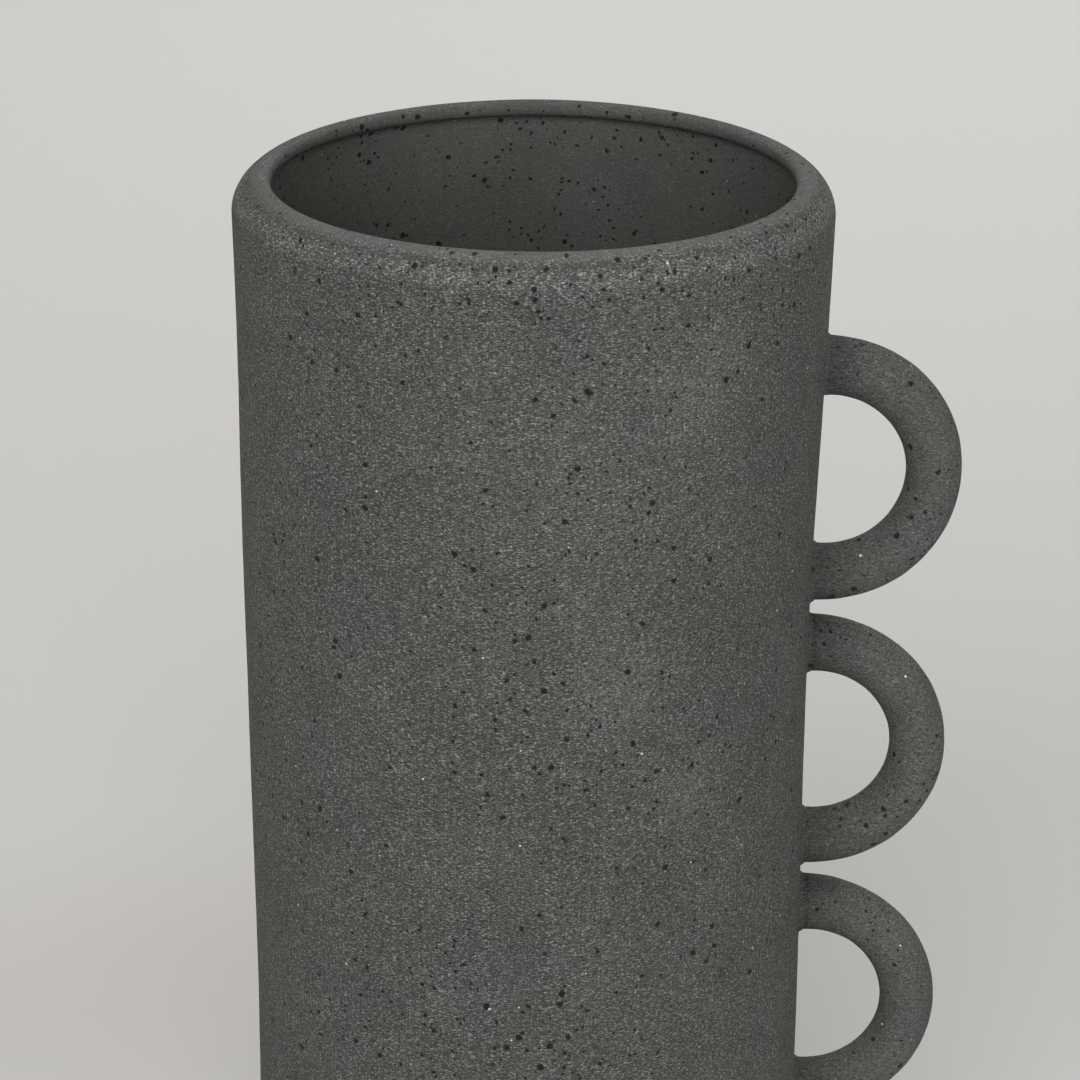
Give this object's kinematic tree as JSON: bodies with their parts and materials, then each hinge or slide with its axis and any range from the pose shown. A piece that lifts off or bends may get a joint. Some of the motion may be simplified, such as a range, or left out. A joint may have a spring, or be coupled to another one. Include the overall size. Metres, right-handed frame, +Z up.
{
  "type": "stoneware pottery vase",
  "caption": "Tall near-cylindrical stoneware vase with a turned-in rounded lip and a column of round coil handles down one side.",
  "frame": {"origin": "centre of the flat underside, on the axis of the round body", "axes": "+Z up along the body's axis, +X out through the column of handles"},
  "size_m": [0.1474, 0.1194, 0.246],
  "materials": {
    "stoneware": "unglazed, matt, gritty charcoal stoneware with pale grit and small pits",
    "slip": "unglazed, matt, smoothed clay slip"
  },
  "bodies": {
    "root": {"base_slab": "stoneware", "wall": "stoneware", "lip": "stoneware", "handle_upper": "stoneware", "handle_middle": "stoneware", "handle_lower": "stoneware", "seam_upper_top": "slip", "seam_upper_bottom": "slip", "seam_middle_top": "slip", "seam_middle_bottom": "slip", "seam_lower_top": "slip", "seam_lower_bottom": "slip"}
  },
  "joints": []
}
